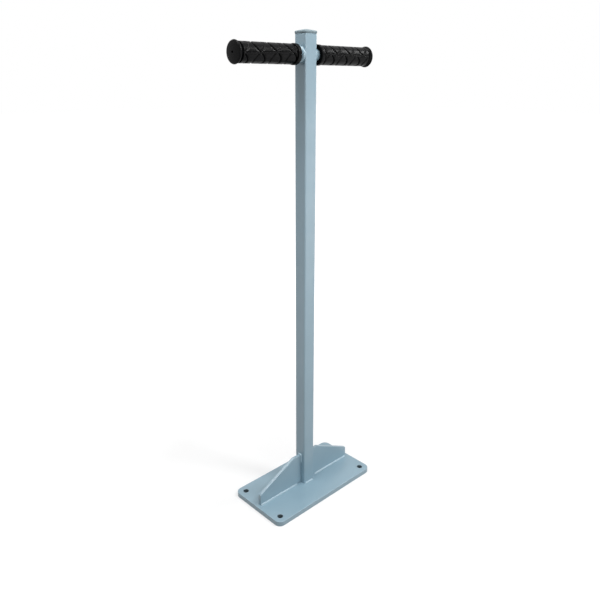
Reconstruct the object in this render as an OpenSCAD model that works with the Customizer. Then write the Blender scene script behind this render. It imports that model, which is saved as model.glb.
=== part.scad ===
// Hand tamper: a square steel post on a rectangular foot plate, stiffened by two gussets,
// with a round cross bar near the top that carries two moulded rubber grips.
// Millimetres. X runs along the plate and the cross bar, Y across them, Z up.
// The origin is the middle of the plate's underside.

/* [Base plate] */
// Length of the plate, along the cross bar
plate_length = 250; // [200:1:320]
// Width of the plate
plate_width = 130; // [90:1:180]
// Thickness of the plate
plate_thickness = 10; // [6:0.5:16]
// Radius of the plate's corners, seen from above
plate_corner_radius = 12; // [4:0.5:24]
// Radius of the plate's rounded edges
plate_edge_radius = 1; // [0.4:0.1:2]
// Diameter of the four bolt holes
hole_diameter = 10; // [6:0.5:14]
// Distance from the plate's edges to the middle of a bolt hole
hole_inset = 15; // [10:0.5:24]

/* [Post] */
// Outside width of the square tube
post_side = 25; // [22:0.5:40]
// Wall of the square tube
post_wall = 2; // [1.5:0.1:3]
// Outside radius of the tube's corners
post_corner_radius = 2.5; // [1:0.1:4]
// Length of the square tube
post_length = 820; // [500:1:1200]

/* [Post cap] */
// How far the cap's head stands past the tube on each side
cap_overhang = 0.5; // [0:0.1:2]
// Height of the cap's head at its rim
cap_rim_height = 4.2; // [3:0.1:8]
// How much higher the head is in its middle
cap_crown_height = 2.4; // [0.2:0.1:3]
// Radius of the head's rounded edges
cap_edge_radius = 1.4; // [0.4:0.1:1.4]
// Radius of the head's corners, seen from above
cap_corner_radius = 2.4; // [1.5:0.1:4]
// Length of the cap's skirt inside the tube
cap_skirt_length = 15; // [8:0.5:18]
// Wall of the skirt
cap_skirt_wall = 1.5; // [1:0.1:3]
// Number of fins round the skirt
cap_fin_count = 3; // [1:1:4]
// Thickness of a fin
cap_fin_thickness = 1.2; // [0.8:0.1:2]
// How far a fin stands out from the skirt
cap_fin_height = 1.1; // [0.5:0.1:2]

/* [Gussets] */
// Height of a gusset at the post
gusset_height = 62.5; // [40:0.5:90]
// Length of the level shelf on top of a gusset, beside the post
gusset_shelf = 20; // [8:0.5:40]
// Height of a gusset at its outer end
gusset_toe_height = 21.5; // [8:0.5:36]
// Thickness of a gusset
gusset_thickness = 6; // [4:0.5:10]
// Distance from a gusset's outer end to the end of the plate
gusset_end_gap = 8; // [2:0.5:20]
// Radius of the top corner at the outer end
gusset_corner_radius = 3; // [1:0.5:6]

/* [Cross bar] */
// Outside diameter of the cross bar
bar_diameter = 18; // [14:0.5:20]
// Wall of the cross bar
bar_wall = 2; // [1.5:0.1:3]
// Distance from the top of the post down to the bar's axis
bar_drop = 30; // [26:0.5:60]

/* [Grips] */
// Length of a grip
grip_length = 122; // [110:0.5:140]
// Gap between the post and the inner end of a grip
grip_gap = 9.5; // [4:0.5:20]
// Diameter over the grip's pads
grip_diameter = 30; // [26:0.5:34]
// How far the collar at the grip's inner end stands above the pads
grip_collar_rise = 0.8; // [0:0.1:3]
// Length of the collar
grip_collar_length = 7; // [4:0.5:10]
// How far the flange at the grip's outer end stands above the pads
grip_flange_rise = 1.6; // [0.5:0.1:8]
// Radius of the flange's rim
grip_rim_radius = 2.4; // [1.5:0.1:3]
// Length of the flare from the neck to the rim's middle
grip_flare_length = 4.5; // [3:0.5:10]
// Depth of the necks beside the collar and the flange, below the pads
grip_neck_depth = 1.8; // [1:0.1:2.2]
// Width of a neck
grip_neck_width = 2; // [1:0.1:4]
// How much the grip's outer end bulges
grip_end_crown = 1; // [0.2:0.1:3]
// Thickness of the grip's closed outer end
grip_end_wall = 4; // [2:0.5:8]
// Diameter of the vent in the closed end
grip_vent_diameter = 3.6; // [1:0.1:6]
// Distance along the grip from one crossing of the grooves to the next
groove_pitch = 31; // [20:0.1:50]
// Distance from the grip's inner end to the first crossing
groove_first = 18.5; // [10:0.5:40]
// Width of a slanting groove at its mouth, measured along the grip
groove_mouth = 2.8; // [1.2:0.1:4]
// How much wider the mouth is where the grooves cross
groove_flare = 2.4; // [0:0.1:4]
// Width of a slanting groove at its floor, measured along the grip
groove_floor = 1.6; // [0.6:0.1:3]
// Depth of the slanting grooves of one hand
groove_depth = 1.5; // [0.6:0.1:1.8]
// Depth of the slanting grooves of the other hand
cross_groove_depth = 1.1; // [0.6:0.1:1.8]
// Width of the straight recesses along the front and back
seam_width = 3.4; // [0.8:0.1:5]
// Depth of the straight recesses
seam_depth = 0.7; // [0.3:0.1:1.2]

/* [Welds] */
// Leg of the fillets along the plate and up the post
weld_leg = 2.5; // [2:0.1:5]
// Leg of the fillet round the cross bar
bar_weld_leg = 3; // [1.5:0.1:3.4]
// Distance from the post at which a gusset's fillets on the plate stop
gusset_weld_setback = 11; // [6:0.5:40]
// Length of the upright fillets at the top of a gusset
stitch_length = 17; // [10:0.5:35]

/* [Hidden] */
$fn = 64;

// Overrun of every cut past the face that it opens
overrun = 1;
// Radial clearance of the cross bar in the post's holes
bar_clearance = 0.1;
// Radial clearance of a grip on the cross bar
grip_clearance = 0.05;
// Clearance of the cap's fins in the post
cap_clearance = 0.1;
// Radius of the collar's edges
collar_edge_radius = 1.2;
// Where the centre of a weld's round face lies behind its corner, as a share of the leg
weld_bulge_share = 0.6;
// Steps of the slanting grooves round the grip, in degrees
groove_step = 15;
// How far the grooves of either hand run past the front and back lines where they end, in degrees
groove_lap = 4;
cross_groove_lap = 6;
// How far round the grip from a crossing the wider mouth reaches, in degrees
groove_flare_reach = 30;
// How far below the front and back lines the straight recesses lie, in degrees
seam_turn = 8.5;
// Points on each rounded stretch of an outline
arc_points = 8;
// Smallest inside radius of the square tube
post_inner_radius_least = 0.5;

hole_spacing_x = plate_length - 2 * hole_inset;
hole_spacing_y = plate_width - 2 * hole_inset;
post_half = post_side / 2;
post_top = plate_thickness + post_length;
post_inner_side = post_side - 2 * post_wall;
post_inner_radius = max(post_corner_radius - post_wall, post_inner_radius_least);
post_flat = post_side - 2 * post_corner_radius;
bar_radius = bar_diameter / 2;
bar_height = post_top - bar_drop;
bar_half_length = post_half + grip_gap + grip_length - grip_end_wall;
gusset_length = plate_length / 2 - gusset_end_gap - post_half;
gusset_weld_length = gusset_length - gusset_weld_setback;
grip_radius = grip_diameter / 2;
grip_neck_radius = grip_radius - grip_neck_depth;
grip_collar_radius = grip_radius + grip_collar_rise;
grip_flange_radius = grip_radius + grip_flange_rise;
grip_rim_place = grip_length - grip_end_crown - grip_rim_radius;
pads_start = grip_collar_length + grip_neck_width;
pads_end = grip_rim_place - grip_flare_length - grip_neck_width;
groove_zone_start = pads_start - groove_mouth;
groove_zone_end = pads_end + groove_mouth;
groove_count = ceil(grip_length / groove_pitch) + 1;

steel_coat = "#93a9b8";
cap_plastic = "#8399a6";
bare_weld = "#a9bcc8";
grip_rubber = "#191919";

// Points of an arc from one angle to another
function arc(centre, radius, from, to) = [
    for (i = [0 : arc_points])
        let (a = from + (to - from) * i / arc_points)
            centre + radius * [cos(a), sin(a)]
];

// A rectangle with round corners, centred
module rounded_rectangle(width, height, radius) {
    square([width, height - 2 * radius], center = true);
    square([width - 2 * radius, height], center = true);
    for (x = [-1, 1], y = [-1, 1])
        translate([x * (width / 2 - radius), y * (height / 2 - radius)])
            circle(radius);
}

// A slab on the plane Z = 0 with round corners and rounded edges
module rounded_slab(length, width, thickness, corner, edge) {
    translate([0, 0, thickness / 2]) {
        rotate([90, 0, 90])
            linear_extrude(length - 2 * corner, center = true)
                rounded_rectangle(width, thickness, edge);
        rotate([90, 0, 0])
            linear_extrude(width - 2 * corner, center = true)
                rounded_rectangle(length, thickness, edge);
        for (x = [-1, 1], y = [-1, 1])
            translate([x * (length / 2 - corner), y * (width / 2 - corner), 0])
                rotate_extrude()
                    intersection() {
                        rounded_rectangle(2 * corner, thickness, edge);
                        translate([0, -thickness / 2])
                            square([corner, thickness]);
                    }
    }
}

// The foot: a plate with four bolt holes
module base_plate() {
    color(steel_coat)
        difference() {
            rounded_slab(plate_length, plate_width, plate_thickness, plate_corner_radius, plate_edge_radius);
            for (x = [-1, 1], y = [-1, 1])
                translate([x * hole_spacing_x / 2, y * hole_spacing_y / 2, -overrun])
                    cylinder(d = hole_diameter, h = plate_thickness + 2 * overrun);
        }
}

// The post: a square tube that stands on the plate, drilled through for the cross bar
module post() {
    color(steel_coat)
        difference() {
            translate([0, 0, plate_thickness])
                linear_extrude(post_length)
                    difference() {
                        rounded_rectangle(post_side, post_side, post_corner_radius);
                        rounded_rectangle(post_inner_side, post_inner_side, post_inner_radius);
                    }
            along_bar()
                cylinder(r = bar_radius + bar_clearance, h = post_side + 2 * overrun, center = true);
        }
}

// Puts what is modelled along Z on the axis of the cross bar
module along_bar() {
    translate([0, 0, bar_height])
        rotate([0, 90, 0])
            children();
}

// The cap: a moulded plug with a low crowned head and a finned skirt
module post_cap() {
    head_side = post_side + 2 * cap_overhang;
    fin_side = post_inner_side - 2 * cap_clearance;
    skirt_side = fin_side - 2 * cap_fin_height;
    fin_spacing = cap_skirt_length / (cap_fin_count + 1);
    color(cap_plastic)
        translate([0, 0, post_top])
            difference() {
                union() {
                    rounded_slab(head_side, head_side, cap_rim_height, cap_corner_radius, cap_edge_radius);
                    crown(head_side - 2 * cap_edge_radius);
                    translate([0, 0, -cap_skirt_length])
                        linear_extrude(cap_skirt_length + cap_rim_height / 2)
                            square(skirt_side, center = true);
                    for (i = [1 : cap_fin_count])
                        translate([0, 0, -i * fin_spacing])
                            linear_extrude(cap_fin_thickness, center = true)
                                rounded_rectangle(fin_side, fin_side, post_inner_radius);
                }
                translate([0, 0, -cap_skirt_length - overrun])
                    linear_extrude(cap_skirt_length + overrun)
                        square(skirt_side - 2 * cap_skirt_wall, center = true);
            }
}

// The low pyramid on top of the cap's head
module crown(side) {
    half = side / 2;
    translate([0, 0, cap_rim_height])
        intersection() {
            rotate([90, 0, 0])
                linear_extrude(side, center = true)
                    polygon([[-half, 0], [half, 0], [0, cap_crown_height]]);
            rotate([90, 0, 90])
                linear_extrude(side, center = true)
                    polygon([[-half, 0], [half, 0], [0, cap_crown_height]]);
        }
}

// A gusset on the post's +X side
module gusset() {
    toe_corner = [gusset_length - gusset_corner_radius, gusset_toe_height - gusset_corner_radius];
    slope_angle = atan2(gusset_length - gusset_shelf, gusset_height - gusset_toe_height);
    outline = concat(
        [[0, 0], [gusset_length, 0]],
        arc(toe_corner, gusset_corner_radius, 0, slope_angle),
        [[gusset_shelf, gusset_height], [0, gusset_height]]
    );
    color(steel_coat)
        translate([post_half, 0, plate_thickness])
            rotate([90, 0, 0])
                linear_extrude(gusset_thickness, center = true)
                    polygon(outline);
}

module gusset_right() { gusset(); }

module gusset_left() { mirror([1, 0, 0]) gusset(); }

// The cross bar: a round tube through the post
module handle_bar() {
    color(steel_coat)
        along_bar()
            difference() {
                cylinder(r = bar_radius, h = 2 * bar_half_length, center = true);
                cylinder(r = bar_radius - bar_wall, h = 2 * (bar_half_length + overrun), center = true);
            }
}

// Outline of a grip without its pads, turned about its axis: X is the radius, Y the distance from
// its inner end
function grip_outline() =
    let (
        collar_edge_centre = grip_collar_radius - collar_edge_radius,
        rim_centre = grip_flange_radius - grip_rim_radius,
        crown_radius = (rim_centre ^ 2 + grip_end_crown ^ 2) / (2 * grip_end_crown)
    )
    concat(
        [[0, 0]],
        arc([collar_edge_centre, collar_edge_radius], collar_edge_radius, -90, 0),
        arc([collar_edge_centre, grip_collar_length - collar_edge_radius], collar_edge_radius, 0, 90),
        [[grip_neck_radius, grip_collar_length], [grip_neck_radius, pads_end + grip_neck_width]],
        arc([rim_centre, grip_rim_place], grip_rim_radius, -30, 90),
        arc([0, grip_length - crown_radius], crown_radius, acos(rim_centre / crown_radius), 90)
    );

// Half the width of a slanting groove's cutter at its outer edge, which widens towards a crossing
function groove_lip(turn, depth) =
    let (
        away = abs(turn - 180 * round(turn / 180)),
        mouth = groove_mouth + groove_flare * max(0, 1 - away / groove_flare_reach)
    )
    mouth / 2 + (mouth - groove_floor) / 2 * overrun / depth;

// One slanting groove, as the solid that is cut away, from one angle to another round the grip
module slanting_groove(start, rise, from, to, depth) {
    steps = max(1, ceil((to - from) / groove_step));
    inner = grip_radius - depth;
    outer = grip_radius + overrun;
    floor_half = groove_floor / 2;
    points = [
        for (i = [0 : steps])
            let (turn = from + (to - from) * i / steps, lip = groove_lip(turn, depth))
                for (p = [[inner, -floor_half], [inner, floor_half], [outer, lip], [outer, -lip]])
                    [p[0] * cos(turn), p[0] * sin(turn), start + rise * turn / 180 + p[1]]
    ];
    sides = [
        for (i = [0 : steps - 1], k = [0 : 3])
            let (a = 4 * i + k, b = 4 * i + (k + 1) % 4)
                for (face = [[a, a + 4, b], [b, a + 4, b + 4]])
                    face
    ];
    last = 4 * steps;
    ends = [[0, 1, 2], [0, 2, 3], [last, last + 2, last + 1], [last, last + 3, last + 2]];
    polyhedron(points, concat(sides, ends));
}

// Slanting grooves of both hands through the crossings counted in starts, from one line to another
module slanting_grooves(first, starts, lines, deep_hand) {
    for (k = starts, hand = [-1, 1]) {
        start = first + k * groove_pitch;
        rise = hand * groove_pitch;
        depth = hand == deep_hand ? groove_depth : cross_groove_depth;
        lap = hand == deep_hand ? groove_lap : cross_groove_lap;
        turns = [for (place = [groove_zone_start, groove_zone_end]) (place - start) / rise * 180];
        from = max(min(turns), lines[0] - lap);
        to = min(max(turns), lines[1] + lap);
        if (to - from > groove_step)
            slanting_groove(start, rise, from, to, depth);
    }
}

// Grooves that run on from the upper half of the grip to the lower half
module grooves_in_line(deep_hand) {
    whole_turns = 360 * groove_count;
    slanting_grooves(groove_first, [0, 1], [-whole_turns, whole_turns], deep_hand);
}

// Grooves whose crossings in the upper half lie between those in the lower half
module grooves_in_halves(deep_hand) {
    starts = [-groove_count : groove_count];
    slanting_grooves(groove_first - groove_pitch / 2, starts, [0, 180], deep_hand);
    mirror([0, 1, 0])
        slanting_grooves(groove_first, starts, [0, 180], -deep_hand);
}

// A grip along Z from its inner end, with its front line at angle 0 and its top at 90 degrees.
// The grooves to cut into its pads are its children.
module grip() {
    pads_length = pads_end - pads_start;
    difference() {
        union() {
            rotate_extrude()
                polygon(grip_outline());
            difference() {
                translate([0, 0, pads_start])
                    cylinder(r = grip_radius, h = pads_length);
                children();
                for (turn = [-seam_turn, 180 + seam_turn])
                    rotate([0, 0, turn])
                        translate([grip_radius, 0, pads_start + pads_length / 2])
                            cube([2 * seam_depth, seam_width, pads_length + 2 * overrun], center = true);
            }
        }
        translate([0, 0, -overrun])
            cylinder(r = bar_radius + grip_clearance, h = grip_length - grip_end_wall + overrun);
        cylinder(d = grip_vent_diameter, h = grip_length + overrun);
    }
}

// Turns a grip to lie along the bar on the +X side, with its front line towards -Y and its top up
module on_bar_end() {
    along_bar()
        translate([0, 0, post_half + grip_gap])
            rotate([0, 0, -90])
                mirror([0, 1, 0])
                    children();
}

module grip_right() {
    color(grip_rubber)
        on_bar_end()
            grip()
                grooves_in_halves(-1);
}

module grip_left() {
    color(grip_rubber)
        mirror([1, 0, 0])
            on_bar_end()
                grip()
                    grooves_in_line(1);
}

// Cross-section of a fillet weld in the corner of the +X and +Y axes, with a slightly round face
module weld_section(leg) {
    behind = weld_bulge_share * leg;
    intersection() {
        square(leg);
        translate([-behind, -behind])
            circle(norm([leg + behind, behind]));
    }
}

// A straight fillet weld along X from the origin, on the faces Y = 0 and Z = 0, with round ends
module weld_run(length, leg) {
    color(bare_weld) {
        translate([leg, 0, 0])
            rotate([90, 0, 90])
                linear_extrude(length - 2 * leg)
                    weld_section(leg);
        for (end = [[leg, 90], [length - leg, 0]])
            translate([end[0], 0, 0])
                rotate([0, 0, end[1]])
                    rotate_extrude(angle = 90)
                        weld_section(leg);
    }
}

// The fillet round the cross bar on the post's +X face, filled down to the tube's round corners
module handle_weld() {
    color(bare_weld)
        difference() {
            along_bar()
                translate([0, 0, post_half])
                    rotate_extrude()
                        translate([bar_radius, 0]) {
                            weld_section(bar_weld_leg);
                            translate([0, -post_corner_radius])
                                square([bar_weld_leg, post_corner_radius]);
                        }
            linear_extrude(post_top)
                rounded_rectangle(post_side, post_side, post_corner_radius);
        }
}

module handle_weld_right() { handle_weld(); }

module handle_weld_left() { mirror([1, 0, 0]) handle_weld(); }

// The fillet at the post's foot, on its +Y face
module post_weld_back() {
    translate([-post_flat / 2, post_half, plate_thickness])
        weld_run(post_flat, weld_leg);
}

module post_weld_front() { mirror([0, 1, 0]) post_weld_back(); }

// The fillet between the right gusset's +Y face and the plate
module gusset_right_weld_back() {
    translate([post_half + gusset_weld_setback, gusset_thickness / 2, plate_thickness])
        weld_run(gusset_weld_length, weld_leg);
}

module gusset_right_weld_front() { mirror([0, 1, 0]) gusset_right_weld_back(); }

module gusset_left_weld_back() { mirror([1, 0, 0]) gusset_right_weld_back(); }

module gusset_left_weld_front() { mirror([1, 0, 0]) gusset_right_weld_front(); }

// The upright fillet between the right gusset's +Y face and the post, round at its lower end
module gusset_right_stitch_back() {
    stitch_foot = plate_thickness + gusset_height - stitch_length + weld_leg;
    color(bare_weld)
        translate([post_half, gusset_thickness / 2, stitch_foot]) {
            linear_extrude(stitch_length - weld_leg)
                weld_section(weld_leg);
            rotate([0, 90, 0])
                rotate_extrude(angle = 90)
                    weld_section(weld_leg);
        }
}

module gusset_right_stitch_front() { mirror([0, 1, 0]) gusset_right_stitch_back(); }

module gusset_left_stitch_back() { mirror([1, 0, 0]) gusset_right_stitch_back(); }

module gusset_left_stitch_front() { mirror([1, 0, 0]) gusset_right_stitch_front(); }

// The fillet across the top of the right gusset, which turns down over both of its edges
module gusset_right_weld_top() {
    color(bare_weld)
        translate([post_half, 0, plate_thickness + gusset_height]) {
            rotate([90, 0, 0])
                linear_extrude(gusset_thickness, center = true)
                    weld_section(weld_leg);
            for (side = [-1, 1])
                translate([0, side * gusset_thickness / 2, 0])
                    rotate([0, 90, 0])
                        rotate([0, 0, side > 0 ? 90 : 180])
                            rotate_extrude(angle = 90)
                                weld_section(weld_leg);
        }
}

module gusset_left_weld_top() { mirror([1, 0, 0]) gusset_right_weld_top(); }

base_plate();
post();
post_cap();
gusset_left();
gusset_right();
handle_bar();
grip_left();
grip_right();
handle_weld_left();
handle_weld_right();
post_weld_front();
post_weld_back();
gusset_left_weld_front();
gusset_left_weld_back();
gusset_right_weld_front();
gusset_right_weld_back();
gusset_left_stitch_front();
gusset_left_stitch_back();
gusset_right_stitch_front();
gusset_right_stitch_back();
gusset_left_weld_top();
gusset_right_weld_top();
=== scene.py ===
import math
import random

import bmesh
import bpy
from mathutils import Matrix, Vector


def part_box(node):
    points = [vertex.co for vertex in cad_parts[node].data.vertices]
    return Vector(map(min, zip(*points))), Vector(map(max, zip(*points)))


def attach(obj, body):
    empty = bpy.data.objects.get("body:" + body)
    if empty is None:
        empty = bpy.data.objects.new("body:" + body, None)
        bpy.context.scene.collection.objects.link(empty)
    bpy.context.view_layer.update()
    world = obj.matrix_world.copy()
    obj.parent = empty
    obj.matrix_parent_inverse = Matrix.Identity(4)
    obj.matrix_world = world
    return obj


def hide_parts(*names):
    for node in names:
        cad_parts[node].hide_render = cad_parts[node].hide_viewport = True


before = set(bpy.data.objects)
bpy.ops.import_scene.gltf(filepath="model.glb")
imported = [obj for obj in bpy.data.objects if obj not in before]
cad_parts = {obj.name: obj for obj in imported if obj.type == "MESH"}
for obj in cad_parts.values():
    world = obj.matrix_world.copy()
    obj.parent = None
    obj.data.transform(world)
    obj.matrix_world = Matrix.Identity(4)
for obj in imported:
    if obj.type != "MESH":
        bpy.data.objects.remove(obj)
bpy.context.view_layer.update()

# Foot plate
# A piece of flat steel bar, cut to length with rounded corners and drilled near each of them.
# It is coated after the welding, so that its edges are soft. Inside the holes the coat's colour is made
# darker.
MM = 0.001
PLATE_CORNER = 12 * MM
PLATE_EDGE = 1 * MM
HOLE_RADIUS = 5 * MM
HOLE_INSET = 15 * MM
HOLE_TONE = 0.3
HOLE_FADE = (0.1 * MM, 0.7 * MM)
plate_low, plate_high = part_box("base_plate")


def block(name, low, high):
    """A box between two corners, with its place in its mesh, left active and selected."""
    bpy.ops.object.select_all(action="DESELECT")
    low, high = Vector(low), Vector(high)
    bpy.ops.mesh.primitive_cube_add(size=1, location=(low + high) / 2)
    piece = bpy.context.object
    piece.name = piece.data.name = name
    bpy.ops.transform.resize(value=high - low)
    bpy.ops.object.transform_apply(location=True, rotation=True, scale=True)
    return piece


def pick(piece, kind, test):
    """Selects the vertices, edges or faces that pass the test, and nothing else, in edit mode."""
    bpy.ops.mesh.select_mode(type=kind)
    bpy.ops.mesh.select_all(action="DESELECT")
    mesh = bmesh.from_edit_mesh(piece.data)
    for part in {"VERT": mesh.verts, "EDGE": mesh.edges, "FACE": mesh.faces}[kind]:
        part.select_set(bool(test(part)))
    mesh.select_flush_mode()
    bmesh.update_edit_mesh(piece.data)


def upright(edge):
    """True for an edge that runs straight up."""
    return (edge.verts[0].co.xy - edge.verts[1].co.xy).length < 0.1 * MM


def open_edit(piece):
    """Makes the piece the only one selected and opens it for editing."""
    bpy.ops.object.select_all(action="DESELECT")
    piece.select_set(True)
    bpy.context.view_layer.objects.active = piece
    bpy.ops.object.mode_set(mode="EDIT")


def close_edit():
    bpy.ops.object.mode_set(mode="OBJECT")


def combine(piece, tool, operation):
    """Cuts the tool out of the piece or joins it on, and removes the tool."""
    bpy.ops.object.select_all(action="DESELECT")
    piece.select_set(True)
    bpy.context.view_layer.objects.active = piece
    bpy.ops.object.modifier_add(type="BOOLEAN")
    step = piece.modifiers[-1]
    step.operation = operation
    step.solver = "EXACT"
    step.object = tool
    bpy.ops.object.modifier_apply(modifier=step.name)
    bpy.data.objects.remove(tool)


def drill(piece, centre, axis, radius, depth):
    """Bores a round hole through the piece."""
    bpy.ops.object.select_all(action="DESELECT")
    turn = Vector((0, 0, 1)).rotation_difference(Vector(axis)).to_euler()
    bpy.ops.mesh.primitive_cylinder_add(
        vertices=64, radius=radius, depth=depth, location=centre, rotation=turn)
    combine(piece, bpy.context.object, "DIFFERENCE")


def soften(piece, width, segments):
    """Rounds the sharp edges and keeps the flats flat in the light."""
    bpy.ops.object.select_all(action="DESELECT")
    piece.select_set(True)
    bpy.context.view_layer.objects.active = piece
    bpy.ops.object.modifier_add(type="BEVEL")
    bevel = piece.modifiers[-1]
    bevel.limit_method = "ANGLE"
    bevel.angle_limit = math.radians(40)
    bevel.width = width
    bevel.segments = segments
    bpy.ops.object.modifier_apply(modifier=bevel.name)
    bpy.ops.object.shade_smooth_by_angle(angle=math.radians(60))
    bpy.ops.object.modifier_add(type="WEIGHTED_NORMAL")
    piece.modifiers[-1].keep_sharp = True
    bpy.ops.object.modifier_apply(modifier=piece.modifiers[-1].name)


def srgb(red, green, blue):
    """A colour given in screen values, as the shaders take it."""
    def linear(value):
        value = value / 255
        return value / 12.92 if value <= 0.04045 else ((value + 0.055) / 1.055) ** 2.4
    return (linear(red), linear(green), linear(blue), 1)


def surface(name, roughness, specular):
    """A new node material with its tree, its shader and the Object coordinates of the piece."""
    material = bpy.data.materials.new(name)
    material.use_nodes = True
    tree = material.node_tree
    shader = tree.nodes["Principled BSDF"]
    shader.inputs["Roughness"].default_value = roughness
    shader.inputs["Specular IOR Level"].default_value = specular
    place = tree.nodes.new("ShaderNodeTexCoord").outputs["Object"]
    return material, tree, shader, place


def noise(tree, place, scale, detail):
    """Noise over the piece, with about this many lumps to the metre."""
    node = tree.nodes.new("ShaderNodeTexNoise")
    node.inputs["Scale"].default_value = scale
    node.inputs["Detail"].default_value = detail
    tree.links.new(place, node.inputs["Vector"])
    return node.outputs["Fac"]


def ramp(tree, value, stops):
    """Colours along a value, from (place, colour) pairs."""
    node = tree.nodes.new("ShaderNodeValToRGB")
    for element, (at, colour) in zip(node.color_ramp.elements, stops):
        element.position = at
        element.color = colour
    tree.links.new(value, node.inputs["Fac"])
    return node.outputs["Color"]


def span(tree, value, low, high, start=0.3, end=0.7):
    """Runs from low to high while a value runs from start to end, by default the middle of a noise."""
    node = tree.nodes.new("ShaderNodeMapRange")
    node.inputs["From Min"].default_value = start
    node.inputs["From Max"].default_value = end
    node.inputs["To Min"].default_value = low
    node.inputs["To Max"].default_value = high
    tree.links.new(value, node.inputs["Value"])
    return node.outputs["Result"]


def joined(tree, operation, *values):
    """A number worked out from other numbers of the tree, or from constants."""
    node = tree.nodes.new("ShaderNodeMath")
    node.operation = operation
    for socket, value in zip(node.inputs, values):
        if isinstance(value, (int, float)):
            socket.default_value = value
        else:
            tree.links.new(value, socket)
    return node.outputs["Value"]


def split(tree, place):
    """The X, Y and Z of a place, by those names."""
    node = tree.nodes.new("ShaderNodeSeparateXYZ")
    tree.links.new(place, node.inputs["Vector"])
    return node.outputs


def reach_of(tree, first, second):
    """How far a place is from an axis, from its two distances square to it."""
    squares = joined(tree, "MULTIPLY_ADD", first, first, joined(tree, "MULTIPLY", second, second))
    return joined(tree, "SQRT", squares)


def bumps(tree, shader, height, distance, under=None):
    """Bumps of this height in metres, over those that are there already."""
    node = tree.nodes.new("ShaderNodeBump")
    node.inputs["Distance"].default_value = distance
    tree.links.new(height, node.inputs["Height"])
    if under:
        tree.links.new(under, node.inputs["Normal"])
    tree.links.new(node.outputs["Normal"], shader.inputs["Normal"])
    return node.outputs["Normal"]


def powder_coat(name, dark, light, roughness):
    """Satin powder coat: a fine orange peel, and a tone that drifts a little over the steel."""
    material, tree, shader, place = surface(name, roughness, 0.9)
    tone = ramp(tree, noise(tree, place, 14, 3), [(0.3, dark), (0.7, light)])
    tree.links.new(tone, shader.inputs["Base Color"])
    gloss = span(tree, noise(tree, place, 60, 2), roughness - 0.03, roughness + 0.05)
    tree.links.new(gloss, shader.inputs["Roughness"])
    waves = bumps(tree, shader, noise(tree, place, 90, 2), 0.0001)
    bumps(tree, shader, noise(tree, place, 700, 1), 0.00002, waves)
    return material


def finish(piece, material, node):
    """Dresses a finished piece and puts it in the place of its CAD node."""
    piece.data.materials.clear()
    piece.data.materials.append(material)
    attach(piece, "root")
    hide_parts(node)


coat = powder_coat("blue_grey_powder_coat", srgb(134, 161, 175), srgb(140, 167, 181), 0.32)
tree = coat.node_tree
base = tree.nodes["Principled BSDF"].inputs["Base Color"]
# Near each hole's axis the coat's colour is scaled down to a darker tone, which fades out just past the
# hole's edge.
sides = split(tree, tree.nodes["Texture Coordinate"].outputs["Object"])
from_x = joined(tree, "SUBTRACT", joined(tree, "ABSOLUTE", sides["X"]), plate_high.x - HOLE_INSET)
from_y = joined(tree, "SUBTRACT", joined(tree, "ABSOLUTE", sides["Y"]), plate_high.y - HOLE_INSET)
from_axis = reach_of(tree, from_x, from_y)
darker_in_holes = tree.nodes.new("ShaderNodeVectorMath")
darker_in_holes.operation = "SCALE"
tree.links.new(base.links[0].from_socket, darker_in_holes.inputs[0])
hole_tone_fade = span(tree, from_axis, HOLE_TONE, 1, HOLE_RADIUS + HOLE_FADE[0], HOLE_RADIUS + HOLE_FADE[1])
tree.links.new(hole_tone_fade, darker_in_holes.inputs["Scale"])
tree.links.new(darker_in_holes.outputs["Vector"], base)

foot_plate = block("foot_plate", plate_low, plate_high)
open_edit(foot_plate)
pick(foot_plate, "EDGE", upright)
bpy.ops.mesh.bevel(offset=PLATE_CORNER, segments=14, affect="EDGES")
close_edit()
for x in (plate_low.x + HOLE_INSET, plate_high.x - HOLE_INSET):
    for y in (plate_low.y + HOLE_INSET, plate_high.y - HOLE_INSET):
        hole = (x, y, plate_low.z)
        drill(foot_plate, hole, (0, 0, 1), HOLE_RADIUS, 4 * (plate_high.z - plate_low.z))
soften(foot_plate, PLATE_EDGE, 4)
finish(foot_plate, coat, "base_plate")

# Post
# A square steel tube with rolled corners, welded upright on the plate.
# It is drilled through near the top, where the cross bar passes.
POST_WALL = 2 * MM
POST_CORNER = 2.5 * MM
POST_EDGE = 0.3 * MM
BAR_FIT = 0.1 * MM
post_low, post_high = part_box("post")
bar_low, bar_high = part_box("handle_bar")
bar_centre = (bar_low + bar_high) / 2
bar_radius = (bar_high.z - bar_low.z) / 2
post_side = post_high.x - post_low.x

square_post = block("square_post", post_low, post_high)
open_edit(square_post)
pick(square_post, "EDGE", upright)
bpy.ops.mesh.bevel(offset=POST_CORNER, segments=8, affect="EDGES")
pick(square_post, "FACE", lambda face: abs(face.normal.z) > 0.9)
bpy.ops.mesh.inset(thickness=POST_WALL)
bpy.ops.mesh.bridge_edge_loops()
close_edit()
drill(square_post, bar_centre, (1, 0, 0), bar_radius + BAR_FIT, 2 * post_side)
soften(square_post, POST_EDGE, 2)
finish(square_post, coat, "post")

# Gussets
# Two steel plates set on edge between the plate and the post, one on each side.
# Each has a level shelf beside the post, a straight slope and a short blunt toe.
GUSSET_SHELF = 20 * MM
GUSSET_TOE = 21.5 * MM
TOE_CORNER = 3 * MM
GUSSET_EDGE = 0.7 * MM


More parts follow.
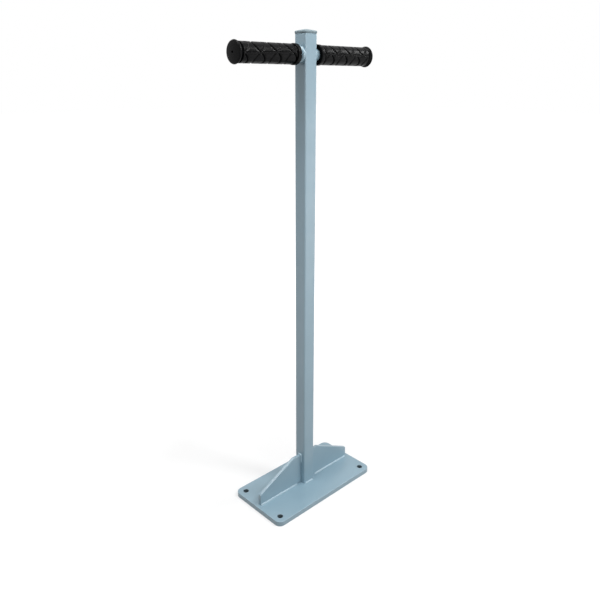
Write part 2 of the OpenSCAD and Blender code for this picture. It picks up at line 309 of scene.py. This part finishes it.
def gusset(name, node, side):
    """A gusset on the post's left side, -1, or its right side, 1."""
    low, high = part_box(node)
    inner, outer = (low.x, high.x) if side > 0 else (high.x, low.x)
    shelf_end = Vector((inner + side * GUSSET_SHELF, 0, high.z))
    toe_top = Vector((outer, 0, low.z + GUSSET_TOE))
    slope = toe_top - shelf_end
    out = Vector((side * abs(slope.z), 0, abs(slope.x))).normalized()
    piece = block(name, low, high)
    open_edit(piece)
    bpy.ops.mesh.select_all(action="SELECT")
    bpy.ops.mesh.bisect(plane_co=toe_top, plane_no=out, use_fill=True, clear_outer=True)
    pick(piece, "EDGE", lambda edge: all((v.co.xz - toe_top.xz).length < 0.1 * MM for v in edge.verts))
    turn = math.atan2(out.z, abs(out.x))
    bpy.ops.mesh.bevel(offset=TOE_CORNER * math.tan(turn / 2), segments=6, affect="EDGES")
    close_edit()
    soften(piece, GUSSET_EDGE, 3)
    finish(piece, coat, node)


gusset("left_gusset", "gusset_left", -1)
gusset("right_gusset", "gusset_right", 1)

# Cross bar
# A round steel tube pushed through the post, which carries the two grips.
# Only a few millimetres of it show on each side of the post.
BAR_WALL = 2 * MM
BAR_EDGE = 0.4 * MM

bpy.ops.object.select_all(action="DESELECT")
bpy.ops.mesh.primitive_cylinder_add(
    vertices=96, radius=bar_radius, depth=bar_high.x - bar_low.x,
    location=bar_centre, rotation=(0, math.pi / 2, 0))
cross_bar = bpy.context.object
cross_bar.name = cross_bar.data.name = "cross_bar"
bpy.ops.object.transform_apply(location=True, rotation=True, scale=True)
open_edit(cross_bar)
pick(cross_bar, "FACE", lambda face: abs(face.normal.x) > 0.9)
bpy.ops.mesh.inset(thickness=BAR_WALL)
bpy.ops.mesh.bridge_edge_loops()
close_edit()
soften(cross_bar, BAR_EDGE, 2)
finish(cross_bar, coat, "handle_bar")

# Welds
# Hand-laid fillets along the gussets, at the post's foot and round the cross bar, under the same coat.
# Each bead is a row of overlapping ripples, a little uneven, with round ends.
WELD_LEG = 2.5 * MM
RING_LEG = 3.4 * MM
WELD_BULGE = 0.6
RING_BULGE = 0.15
RIPPLE_PITCH = 2.2 * MM
RIPPLE_STEP = 0.35 * MM
RIPPLE_DEPTH = 0.045
RING_RIPPLE = 0.03
WAVER_DEPTH = 0.06
SHORT_WAVER = 4.1 * RIPPLE_PITCH
LONG_WAVER = 9.7 * RIPPLE_PITCH
BEAD_MERGE = 0.02 * MM
# The beads' coat is a lighter copy of the plate's coat: a painted highlight along the welds.
weld_coat_painted_highlight = powder_coat("weld_coat_with_painted_highlight", srgb(144, 171, 184), srgb(152, 179, 192), 0.32)
weld_shape = random.Random(7)


def ring_of(name, points):
    """A closed outline through these points, as a mesh of edges, left active and selected."""
    bpy.ops.object.select_all(action="DESELECT")
    bpy.ops.mesh.primitive_circle_add(vertices=len(points), radius=1, fill_type="NOTHING")
    piece = bpy.context.object
    piece.name = piece.data.name = name
    for vertex, point in zip(piece.data.vertices, points):
        vertex.co = point
    return piece


def bead_outline(leg, bulge):
    """Points of a fillet's section: its corner, and the round face from one leg to the other."""
    behind = bulge * leg
    radius = math.hypot(leg + behind, behind)
    start = math.atan2(behind, leg + behind)
    turns = [start + (math.pi / 2 - 2 * start) * i / 12 for i in range(13)]
    return [(0, 0)] + [(radius * math.cos(a) - behind, radius * math.sin(a) - behind) for a in turns]


def ripple(along, across, phase):
    """Size of a bead at a place along it: crescent ripples, and a slow waver of the hand."""
    crest = (along + 0.5 * RIPPLE_PITCH * math.sin(math.pi * across)) / RIPPLE_PITCH
    dip = 1 - abs(math.sin(math.pi * crest))
    waver = math.sin(along / SHORT_WAVER + phase) + math.sin(along / LONG_WAVER + 2 * phase)
    return 1 - RIPPLE_DEPTH * dip ** 2 + WAVER_DEPTH * (waver - 2) / 2


def merge(piece, distance):
    """Joins points that fall together and turns the faces outwards."""
    open_edit(piece)
    bpy.ops.mesh.select_all(action="SELECT")
    bpy.ops.mesh.remove_doubles(threshold=distance)
    bpy.ops.mesh.dissolve_degenerate(threshold=distance)
    bpy.ops.mesh.normals_make_consistent(inside=False)
    close_edit()


def bead(name, node, along, out, up, round_ends=(True, True)):
    """A straight bead in a CAD weld's box: along it, out from one face and up from the other."""
    low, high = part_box(node)
    along, out, up = Vector(along), Vector(out), Vector(up)
    length = abs((high - low).dot(along))
    start = [low[i] if (along + out + up)[i] > 0 else high[i] for i in range(3)]
    piece = ring_of(name, [(0, y, z) for y, z in bead_outline(WELD_LEG, WELD_BULGE)])
    open_edit(piece)
    bpy.ops.mesh.select_all(action="SELECT")
    bpy.ops.mesh.edge_face_add()
    bpy.ops.mesh.extrude_region_move(TRANSFORM_OT_translate={"value": (length, 0, 0)})
    cuts = round(math.sqrt(length / RIPPLE_STEP)) - 1
    for _ in range(2):
        pick(piece, "EDGE", lambda edge: abs(edge.verts[0].co.x - edge.verts[1].co.x) > 0.1 * MM)
        bpy.ops.mesh.subdivide(number_cuts=cuts)
    close_edit()
    phase = weld_shape.uniform(0, 6)
    for vertex in piece.data.vertices:
        x, y, z = vertex.co
        near = min(x if round_ends[0] else length, length - x if round_ends[1] else length)
        cut = max(0, 1 - near / WELD_LEG)
        size = math.sqrt(max(0, 1 - cut * cut)) * ripple(x, math.atan2(z, y) / (math.pi / 2), phase)
        vertex.co = (x, y * size, z * size)
    axes = Matrix((along, out, up)).transposed().to_4x4()
    piece.data.transform(Matrix.Translation(start) @ axes)
    merge(piece, BEAD_MERGE)
    bpy.ops.object.shade_smooth_by_angle(angle=math.radians(50))
    finish(piece, weld_coat_painted_highlight, node)


def ring_bead(name, node, side):
    """The bead round the cross bar on one face of the post."""
    face = side * post_side / 2
    ring = bead_outline(RING_LEG, RING_BULGE)
    points = [(face + side * x, 0, bar_centre.z + bar_radius + r) for r, x in ring]
    piece = ring_of(name, points)
    open_edit(piece)
    bpy.ops.mesh.select_all(action="SELECT")
    bpy.ops.mesh.spin(steps=200, angle=math.tau, center=bar_centre, axis=(1, 0, 0))
    close_edit()
    phase = weld_shape.uniform(0, 6)
    turns = round(math.tau * bar_radius / RIPPLE_PITCH)
    for vertex in piece.data.vertices:
        x, y, z = vertex.co - Vector((face, 0, bar_centre.z))
        radius = math.hypot(y, z)
        leg_out, leg_on = radius - bar_radius, abs(x)
        turn = math.atan2(y, z) / math.tau % 1
        across = math.atan2(leg_out, leg_on) / (math.pi / 2)
        dip = 1 - abs(math.sin(math.pi * (turn * turns + 0.5 * math.sin(math.pi * across))))
        size = 1 - RING_RIPPLE * dip ** 2 - WAVER_DEPTH * (1 + math.sin(2 * math.tau * turn + phase)) / 2
        reach = (bar_radius + leg_out * size) / radius
        past = max(0, abs(y) * reach - post_side / 2 + POST_CORNER)
        sink = (POST_CORNER - math.sqrt(POST_CORNER ** 2 - past ** 2)) * (1 - leg_on / RING_LEG)
        vertex.co = (face + x * size - side * sink, y * reach, bar_centre.z + z * reach)
    merge(piece, BEAD_MERGE)
    bpy.ops.object.shade_smooth_by_angle(angle=math.radians(50))
    finish(piece, weld_coat_painted_highlight, node)


X, Y, Z = Vector((1, 0, 0)), Vector((0, 1, 0)), Vector((0, 0, 1))
for where, way in (("front", -Y), ("back", Y)):
    bead("foot_bead_" + where, "post_weld_" + where, X, way, Z)
    for hand, side in (("left", -X), ("right", X)):
        node = "gusset_" + hand
        bead(f"{hand}_toe_bead_{where}", f"{node}_weld_{where}", X, way, Z)
        bead(f"{hand}_upright_bead_{where}", f"{node}_stitch_{where}", Z, way, side, (True, False))
for hand, side in (("left", -X), ("right", X)):
    bead(f"{hand}_top_bead", f"gusset_{hand}_weld_top", Y, side, Z)
    ring_bead(f"{hand}_ring_bead", f"handle_weld_{hand}", side.x)

# Post cap
# A plug moulded in grey plastic, pushed into the open top of the tube.
# Its low head has rounded edges, and fins on its skirt grip the tube's wall.
CAP_RIM = 4.2 * MM
CAP_CROWN = 2.4 * MM
CAP_EDGE = 1.4 * MM
CAP_CORNER = 2.4 * MM
CAP_OVERHANG = 0.5 * MM
SKIRT_WALL = 1.5 * MM
FIN_HEIGHT = 1.1 * MM
FIN_THICK = 1.2 * MM
FIN_COUNT = 3
FIN_FIT = 0.1 * MM
CROWN_RINGS = 6
CROWN_CURVE = 1.4
cap_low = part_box("post_cap")[0]
head_half = post_side / 2 + CAP_OVERHANG
skirt_half = post_side / 2 - POST_WALL - FIN_FIT - FIN_HEIGHT
skirt_length = post_high.z - cap_low.z

head_low = (-head_half, -head_half, post_high.z)
head_high = (head_half, head_half, post_high.z + CAP_RIM)
post_plug = block("post_plug", head_low, head_high)
open_edit(post_plug)
pick(post_plug, "EDGE", upright)
bpy.ops.mesh.bevel(offset=CAP_CORNER, segments=8, affect="EDGES")
pick(post_plug, "EDGE", lambda edge: not upright(edge))
bpy.ops.mesh.bevel(offset=CAP_EDGE, segments=6, affect="EDGES")
pick(post_plug, "FACE", lambda face: face.normal.z > 0.99 and len(face.verts) > 4)
for i in range(CROWN_RINGS):
    outer, inner = 1 - i / (CROWN_RINGS + 1), 1 - (i + 1) / (CROWN_RINGS + 1)
    rise = CAP_CROWN * (outer ** CROWN_CURVE - inner ** CROWN_CURVE)
    bpy.ops.mesh.extrude_region_move(TRANSFORM_OT_translate={"value": (0, 0, rise)})
    bpy.ops.transform.resize(value=(inner / outer, inner / outer, 1), center_override=(0, 0, post_high.z))
close_edit()
skirt_top = post_high.z + CAP_RIM / 2
skirt = block("skirt", (-skirt_half, -skirt_half, cap_low.z), (skirt_half, skirt_half, skirt_top))
combine(post_plug, skirt, "UNION")
fin_half = skirt_half + FIN_HEIGHT
for i in range(1, FIN_COUNT + 1):
    middle = post_high.z - i * skirt_length / (FIN_COUNT + 1)
    fin_low = (-fin_half, -fin_half, middle - FIN_THICK / 2)
    combine(post_plug, block("fin", fin_low, (fin_half, fin_half, middle + FIN_THICK / 2)), "UNION")
room = skirt_half - SKIRT_WALL
room_low = (-room, -room, cap_low.z - CAP_RIM)
combine(post_plug, block("room", room_low, (room, room, post_high.z)), "DIFFERENCE")
bpy.ops.object.shade_smooth_by_angle(angle=math.radians(35))

cap_plastic, tree, shader, place = surface("grey_moulded_plastic", 0.5, 0.4)
tone = ramp(tree, noise(tree, place, 120, 3), [(0.3, srgb(112, 129, 136)), (0.7, srgb(120, 137, 144))])
tree.links.new(tone, shader.inputs["Base Color"])
bumps(tree, shader, noise(tree, place, 2600, 2), 0.00005)
finish(post_plug, cap_plastic, "post_cap")

# Grips
# Two moulded rubber sleeves pushed onto the ends of the bar, each with a collar, a flange and a vent.
# Slanting grooves of both hands cross along a moulding seam on the front and back, and open out there.
GRIP_RADIUS = 15 * MM
BORE_RADIUS = 9.05 * MM
COLLAR_RADIUS = 15.8 * MM
COLLAR_LENGTH = 7 * MM
COLLAR_EDGE = 1.2 * MM
NECK_RADIUS = 13.2 * MM
NECK_WIDTH = 2 * MM
PAD_EDGE = 0.5 * MM
FLARE_LENGTH = 4.5 * MM
FLANGE_RADIUS = 16.6 * MM
RIM_RADIUS = 2.4 * MM
END_CROWN = 1 * MM
END_WALL = 4 * MM
VENT_RADIUS = 1.8 * MM
GROOVE_PITCH = 31 * MM
FIRST_CROSSING = 19.3 * MM
GROOVE_BOW = 6 * MM
DEEP_GROOVE = 1.75 * MM
CROSS_GROOVE = 1.1 * MM
GROOVE_FLOOR = 0.9 * MM
GROOVE_MOUTH = 2.1 * MM
FACET_WIDTH = 3.4 * MM
FACET_DEPTH = 0.6 * MM
FACET_REACH = 24
SEAM_DEPTH = 1.1 * MM
SEAM_HALF = 0.65 * MM
SEAM_STOP = 4 * MM
STRIP_DEPTH = 0.35 * MM
STRIP_LOW = 3.6 * MM
PAD_STEP = 0.31 * MM
GRIP_TURNS = 192


def arc(centre, radius, start, end, count):
    """Points of an arc, as pairs along and out from the bar, with its angles in degrees."""
    turns = [math.radians(start + (end - start) * i / count) for i in range(count + 1)]
    return [(centre[0] + radius * math.cos(a), centre[1] + radius * math.sin(a)) for a in turns]


def grip_outline(length):
    """Section of a grip: pairs of the distance from its inner end and the radius, bore included."""
    rim_place = length - END_CROWN - RIM_RADIUS
    rim_centre = FLANGE_RADIUS - RIM_RADIUS
    neck_out = rim_place - FLARE_LENGTH
    pads = (COLLAR_LENGTH + NECK_WIDTH, neck_out - NECK_WIDTH)
    collar = COLLAR_RADIUS - COLLAR_EDGE
    pad = GRIP_RADIUS - PAD_EDGE
    stretch = (pads[0] + PAD_EDGE, pads[1] - PAD_EDGE)
    count = round((stretch[1] - stretch[0]) / PAD_STEP)
    points = [(0, BORE_RADIUS + 0.5 * MM)]
    points += arc((COLLAR_EDGE, collar), COLLAR_EDGE, 180, 90, 6)
    points += arc((COLLAR_LENGTH - COLLAR_EDGE, collar), COLLAR_EDGE, 90, 0, 6)
    points += [(COLLAR_LENGTH, NECK_RADIUS), (pads[0], NECK_RADIUS)]
    points += arc((stretch[0], pad), PAD_EDGE, 180, 90, 4)[:-1]
    points += [(stretch[0] + (stretch[1] - stretch[0]) * i / count, GRIP_RADIUS) for i in range(count + 1)]
    points += arc((stretch[1], pad), PAD_EDGE, 90, 0, 4)[1:]
    points += [(pads[1], NECK_RADIUS), (neck_out, NECK_RADIUS)]
    points += arc((rim_place, rim_centre), RIM_RADIUS, 120, 0, 14)
    dome = (rim_centre ** 2 + END_CROWN ** 2) / (2 * END_CROWN)
    for i in range(1, 9):
        radius = rim_centre + (VENT_RADIUS - rim_centre) * i / 8
        points.append((length - dome + math.sqrt(dome ** 2 - radius ** 2), radius))
    points += [(length - END_WALL, VENT_RADIUS), (length - END_WALL, BORE_RADIUS), (0, BORE_RADIUS)]
    return points, stretch


def fold(value, pitch):
    """Distance to the nearest of evenly spaced lines."""
    return (value + pitch / 2) % pitch - pitch / 2


def between(value, start, end):
    """Runs from 0 at start to 1 at end, and stays there beyond them."""
    return min(1, max(0, (value - start) / (end - start)))


def groove(along, turn, first, hand, depth):
    """Depth of the grooves of one hand in one half of the grip, with a facet below them near a crossing."""
    shift = GROOVE_PITCH / 2 * turn / 180 + GROOVE_BOW * math.sin(math.radians(2 * turn))
    away = fold(along - first - hand * shift, GROOVE_PITCH)
    cut = depth * between(abs(away), GROOVE_MOUTH, GROOVE_FLOOR)
    near = between(min(turn, 180 - turn), FACET_REACH, FACET_REACH - 6)
    if away * hand * (90 - turn) > 0:
        cut = max(cut, near * FACET_DEPTH * between(abs(away), GROOVE_MOUTH + FACET_WIDTH, GROOVE_MOUTH))
    return cut


def grip_cut(along, turn, crossings, hand):
    """Depth of the moulded pattern at a place: along the grip, and round it from the front, in degrees."""
    turn = (turn + 180) % 360 - 180
    height = math.copysign(GRIP_RADIUS * math.radians(min(abs(turn), 180 - abs(turn))), turn)
    upper, lower = crossings
    first = upper if turn >= 0 else lower
    lean = hand if turn >= 0 else -hand
    if height > -1 * MM:
        runs_out = between(height, -0.4 * MM, 0.3 * MM)
    else:
        runs_out = between(height, -1.5 * MM, -3 * MM)
    deep = groove(along, abs(turn), first, lean, DEEP_GROOVE) * runs_out
    cross = groove(along, abs(turn), first, -lean, CROSS_GROOVE) * runs_out
    clear = between(abs(fold(along - upper, GROOVE_PITCH)), SEAM_STOP - 0.6 * MM, SEAM_STOP + 0.4 * MM)
    seam = SEAM_DEPTH * clear * between(abs(height), SEAM_HALF, 0.5 * SEAM_HALF)
    strip = STRIP_DEPTH * between(height, 0, -SEAM_HALF)
    strip *= between(height, -STRIP_LOW, -STRIP_LOW + 0.5 * MM)
    return max(deep, cross, seam, strip)


def grip(name, node, side, crossings, seam_turns):
    """A grip on one end of the bar, with the angles of its seam at its inner and its outer end."""
    low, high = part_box(node)
    length = high.x - low.x
    inner = low.x if side > 0 else high.x
    outline, pads = grip_outline(length)
    piece = ring_of(name, [(inner + side * s, 0, bar_centre.z + r) for s, r in outline])
    open_edit(piece)
    bpy.ops.mesh.select_all(action="SELECT")
    bpy.ops.mesh.spin(steps=GRIP_TURNS, angle=math.tau, center=bar_centre, axis=(1, 0, 0))
    close_edit()
    merge(piece, 0.002 * MM)
    for vertex in piece.data.vertices:
        along = (vertex.co.x - inner) * side
        out = vertex.co - Vector((vertex.co.x, 0, bar_centre.z))
        radius = out.length
        turn = math.degrees(math.atan2(out.z, -out.y))
        if radius > NECK_RADIUS + 0.1 * MM and pads[0] - PAD_EDGE < along < pads[1] + PAD_EDGE:
            radius -= min(grip_cut(along, turn, crossings, side * -1), radius - NECK_RADIUS - 0.05 * MM)
        seam = seam_turns[0] + (seam_turns[1] - seam_turns[0]) * along / length
        turn = math.radians(turn + seam * between(radius, BORE_RADIUS + 0.5 * MM, NECK_RADIUS))
        vertex.co = (vertex.co.x, -radius * math.cos(turn), bar_centre.z + radius * math.sin(turn))
    bpy.ops.object.shade_smooth_by_angle(angle=math.radians(40))
    finish(piece, grip_rubber, node)


grip_rubber, tree, shader, place = surface("black_moulded_rubber", 0.3, 0.06)
tone = ramp(tree, noise(tree, place, 180, 3), [(0.3, srgb(6, 6, 7)), (0.7, srgb(9, 9, 10))])
tree.links.new(tone, shader.inputs["Base Color"])
grip_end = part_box("grip_right")[1].x
sides = split(tree, place)
reach = reach_of(tree, joined(tree, "SUBTRACT", sides["Z"], bar_centre.z), sides["Y"])
worn = span(tree, reach, 0, 1, NECK_RADIUS + 0.3 * MM, NECK_RADIUS + 1 * MM)
ends = joined(tree, "GREATER_THAN", joined(tree, "ABSOLUTE", sides["X"]), grip_end - RIM_RADIUS)
worn = joined(tree, "MAXIMUM", worn, ends)
tree.links.new(joined(tree, "MULTIPLY_ADD", worn, 0.055, 0.015), shader.inputs["Specular IOR Level"])
gloss = span(tree, noise(tree, place, 300, 2), 0.54, 0.63)
tree.links.new(joined(tree, "MULTIPLY_ADD", worn, -0.25, gloss), shader.inputs["Roughness"])
bumps(tree, shader, noise(tree, place, 900, 2), 0.00003)

grip("left_grip", "grip_left", -1, (FIRST_CROSSING, FIRST_CROSSING), (17, -5))
half_step = GROOVE_PITCH / 2
grip("right_grip", "grip_right", 1, (FIRST_CROSSING - half_step, FIRST_CROSSING), (11, 2))

# Floor, light and camera
# A white floor and a white surround, with soft light from above and from the right of the camera.
# The camera stands at the corner of the plate, a little lower than the grips.
FLOOR_SIZE = 30
UNDER_EDGE = 5 * MM
FLOOR_SEEN = 0.5
FLOOR_SHADE = 0.25
GLOW_START = 0.3
GLOW_END = 0.9
GLOW_NEAR = 0.5
SURROUND_LIGHT = 0.2
CAMERA_PLACE = (-0.7021, -0.7288, 0.7613)
CAMERA_TURN = (69.949, 0, -43.416)
CAMERA_LENS = 36
CAMERA_SENSOR = 36


def seen(tree):
    """1 for what the camera sees, straight or in a reflection, and 0 for light that falls on the object."""
    rays = tree.nodes.new("ShaderNodeLightPath").outputs
    mirrored = joined(tree, "MAXIMUM", rays["Is Glossy Ray"], rays["Is Transmission Ray"])
    return joined(tree, "MAXIMUM", rays["Is Camera Ray"], mirrored)


bpy.ops.object.select_all(action="DESELECT")
bpy.ops.mesh.primitive_plane_add(size=FLOOR_SIZE, location=(0, 0, plate_low.z))
floor = bpy.context.object
floor.name = "white_floor"
white_floor = bpy.data.materials.new("white_floor")
white_floor.use_nodes = True
tree = white_floor.node_tree
tree.nodes.remove(tree.nodes["Principled BSDF"])
lit = tree.nodes.new("ShaderNodeBsdfDiffuse")
lit.inputs["Color"].default_value = (FLOOR_SEEN, FLOOR_SEEN, FLOOR_SEEN, 1)
spot = tree.nodes.new("ShaderNodeTexCoord").outputs["Object"]
away = tree.nodes.new("ShaderNodeVectorMath")
away.operation = "LENGTH"
tree.links.new(spot, away.inputs[0])
lift = span(tree, away.outputs["Value"], GLOW_NEAR, 1, GLOW_START, GLOW_END)
sides = split(tree, spot)
past_end = joined(tree, "GREATER_THAN", joined(tree, "ABSOLUTE", sides["X"]), plate_high.x - UNDER_EDGE)
past_side = joined(tree, "GREATER_THAN", joined(tree, "ABSOLUTE", sides["Y"]), plate_high.y - UNDER_EDGE)
clear = joined(tree, "MAXIMUM", past_end, past_side)
glow = tree.nodes.new("ShaderNodeEmission")
tree.links.new(joined(tree, "MULTIPLY", lift, clear), glow.inputs["Strength"])
lifted = tree.nodes.new("ShaderNodeAddShader")
tree.links.new(lit.outputs["BSDF"], lifted.inputs[0])
tree.links.new(glow.outputs["Emission"], lifted.inputs[1])
matt = tree.nodes.new("ShaderNodeBsdfDiffuse")
matt.inputs["Color"].default_value = (FLOOR_SHADE, FLOOR_SHADE, FLOOR_SHADE, 1)
mixed = tree.nodes.new("ShaderNodeMixShader")
tree.links.new(seen(tree), mixed.inputs["Fac"])
tree.links.new(matt.outputs["BSDF"], mixed.inputs[1])
tree.links.new(lifted.outputs["Shader"], mixed.inputs[2])
tree.links.new(mixed.outputs["Shader"], tree.nodes["Material Output"].inputs["Surface"])
floor.data.materials.append(white_floor)

world = bpy.data.worlds.new("white_surround")
bpy.context.scene.world = world
world.use_nodes = True
tree = world.node_tree
around = tree.nodes["Background"]
around.inputs["Color"].default_value = (1, 1, 1, 1)
around.inputs["Strength"].default_value = SURROUND_LIGHT
backdrop = tree.nodes.new("ShaderNodeBackground")
backdrop.inputs["Color"].default_value = (1, 1, 1, 1)
backdrop.inputs["Strength"].default_value = 1
mixed = tree.nodes.new("ShaderNodeMixShader")
tree.links.new(seen(tree), mixed.inputs["Fac"])
tree.links.new(around.outputs["Background"], mixed.inputs[1])
tree.links.new(backdrop.outputs["Background"], mixed.inputs[2])
tree.links.new(mixed.outputs["Shader"], tree.nodes["World Output"].inputs["Surface"])


def softbox(name, place, aim, width, height, power):
    """An area lamp that points at a place and isn't seen itself."""
    bpy.ops.object.light_add(type="AREA", location=place)
    lamp = bpy.context.object
    lamp.name = name
    lamp.data.shape = "RECTANGLE"
    lamp.data.size = width
    lamp.data.size_y = height
    lamp.data.energy = power
    lamp.rotation_euler = (Vector(aim) - Vector(place)).to_track_quat("-Z", "Y").to_euler()
    lamp.visible_camera = False


softbox("right_softbox", (0.95, -1, 0.31), (0, 0, 0.45), 0.6, 0.85, 2.6)
softbox("front_softbox", (-0.3, -1.4, 0.65), (0, 0, 0.5), 0.8, 0.8, 6.5)
softbox("high_softbox", (0.42, -0.93, 1.55), (0, 0, 0.75), 0.3, 0.3, 9)
softbox("side_softbox", (1.03, -0.4, 1.36), (0, 0, 0.78), 0.3, 0.3, 5)
softbox("upper_left_softbox", (-0.7, 0.05, 1.75), (0, 0, 0.5), 0.5, 0.5, 6.8)
softbox("left_softbox", (-1.6, 0.2, 0.8), (0, 0, 0.4), 1, 1.2, 1.2)
softbox("top_softbox", (-0.25, 0, 1.95), (-0.02, 0, 0.8), 0.5, 0.5, 8)
softbox("back_softbox", (-0.15, 0.95, 1.3), (-0.05, 0, 0.05), 0.4, 0.4, 2.5)

bpy.ops.object.camera_add(location=CAMERA_PLACE, rotation=[math.radians(a) for a in CAMERA_TURN])
camera = bpy.context.object
camera.data.sensor_width = CAMERA_SENSOR
camera.data.lens = CAMERA_LENS
bpy.context.scene.camera = camera
bpy.context.scene.view_settings.view_transform = "Standard"
